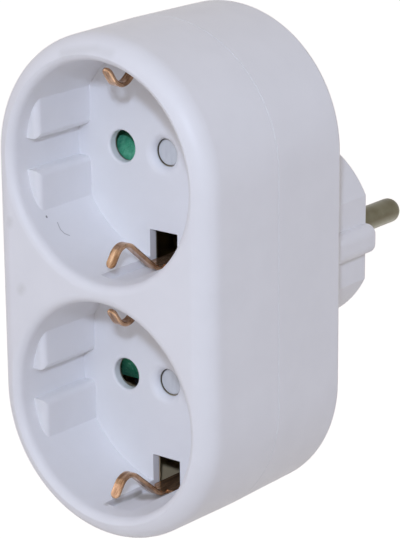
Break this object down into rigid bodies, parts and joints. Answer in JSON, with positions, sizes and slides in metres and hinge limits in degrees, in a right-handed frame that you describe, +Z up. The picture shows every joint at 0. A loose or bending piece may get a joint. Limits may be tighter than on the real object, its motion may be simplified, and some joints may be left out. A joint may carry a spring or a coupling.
{
  "type": "multi socket adapter",
  "caption": "Rounded plug-in adapter with earthed round-pin socket recesses one above the other, spring-loaded safety shutters, and an earthed round-pin plug on the back.",
  "frame": {"origin": "midway between the two plug pins, on the end face of the plug", "axes": "+Z up along the row of sockets, +Y out of the plug along its pins, sockets face -Y, +X to the right seen from the front"},
  "size_m": [0.0494, 0.0773, 0.093],
  "materials": {
    "white_plastic": "satin moulded, white",
    "green_plastic": "moulded, green",
    "grey_plastic": "moulded, grey",
    "cap_plastic": "moulded, light grey",
    "bronze": "stamped strip, bare",
    "brass": "stamped strip, bare",
    "plated_brass": "turned, nickel plated",
    "spring_steel": "drawn wire",
    "screw_steel": "zinc plated"
  },
  "bodies": {
    "housing": {"front_shell": "white_plastic", "rear_cover": "white_plastic", "shutter_spring_upper": "spring_steel", "shutter_spring_lower": "spring_steel", "shutter_retainer_upper": "grey_plastic", "shutter_retainer_lower": "grey_plastic", "earth_clip_upper": "bronze", "earth_clip_lower": "bronze", "plug_earth_contact": "bronze", "earth_rivets": "bronze", "bus_bar_left": "brass", "bus_bar_right": "brass", "plug_pin_left": "plated_brass", "plug_pin_right": "plated_brass", "housing_screws": "screw_steel", "screw_cap_upper": "cap_plastic", "screw_cap_lower": "cap_plastic"},
    "upper_shutter": {"shutter_upper": "green_plastic"},
    "lower_shutter": {"shutter_lower": "green_plastic"}
  },
  "joints": [
    {"name": "upper_shutter_turn", "type": "hinge", "parent": "housing", "child": "upper_shutter", "pos_m": [0, -0.035, 0.02175], "axis": [0, -1, 0], "range_deg": [0, 40], "stiffness_Nm_per_rad": 0.003, "springref_deg": -22.92, "deforming": ["shutter_spring_upper"]},
    {"name": "lower_shutter_turn", "type": "hinge", "parent": "housing", "child": "lower_shutter", "pos_m": [0, -0.035, -0.02175], "axis": [0, 1, 0], "range_deg": [0, 40], "stiffness_Nm_per_rad": 0.003, "springref_deg": -22.92, "deforming": ["shutter_spring_lower"]}
  ]
}
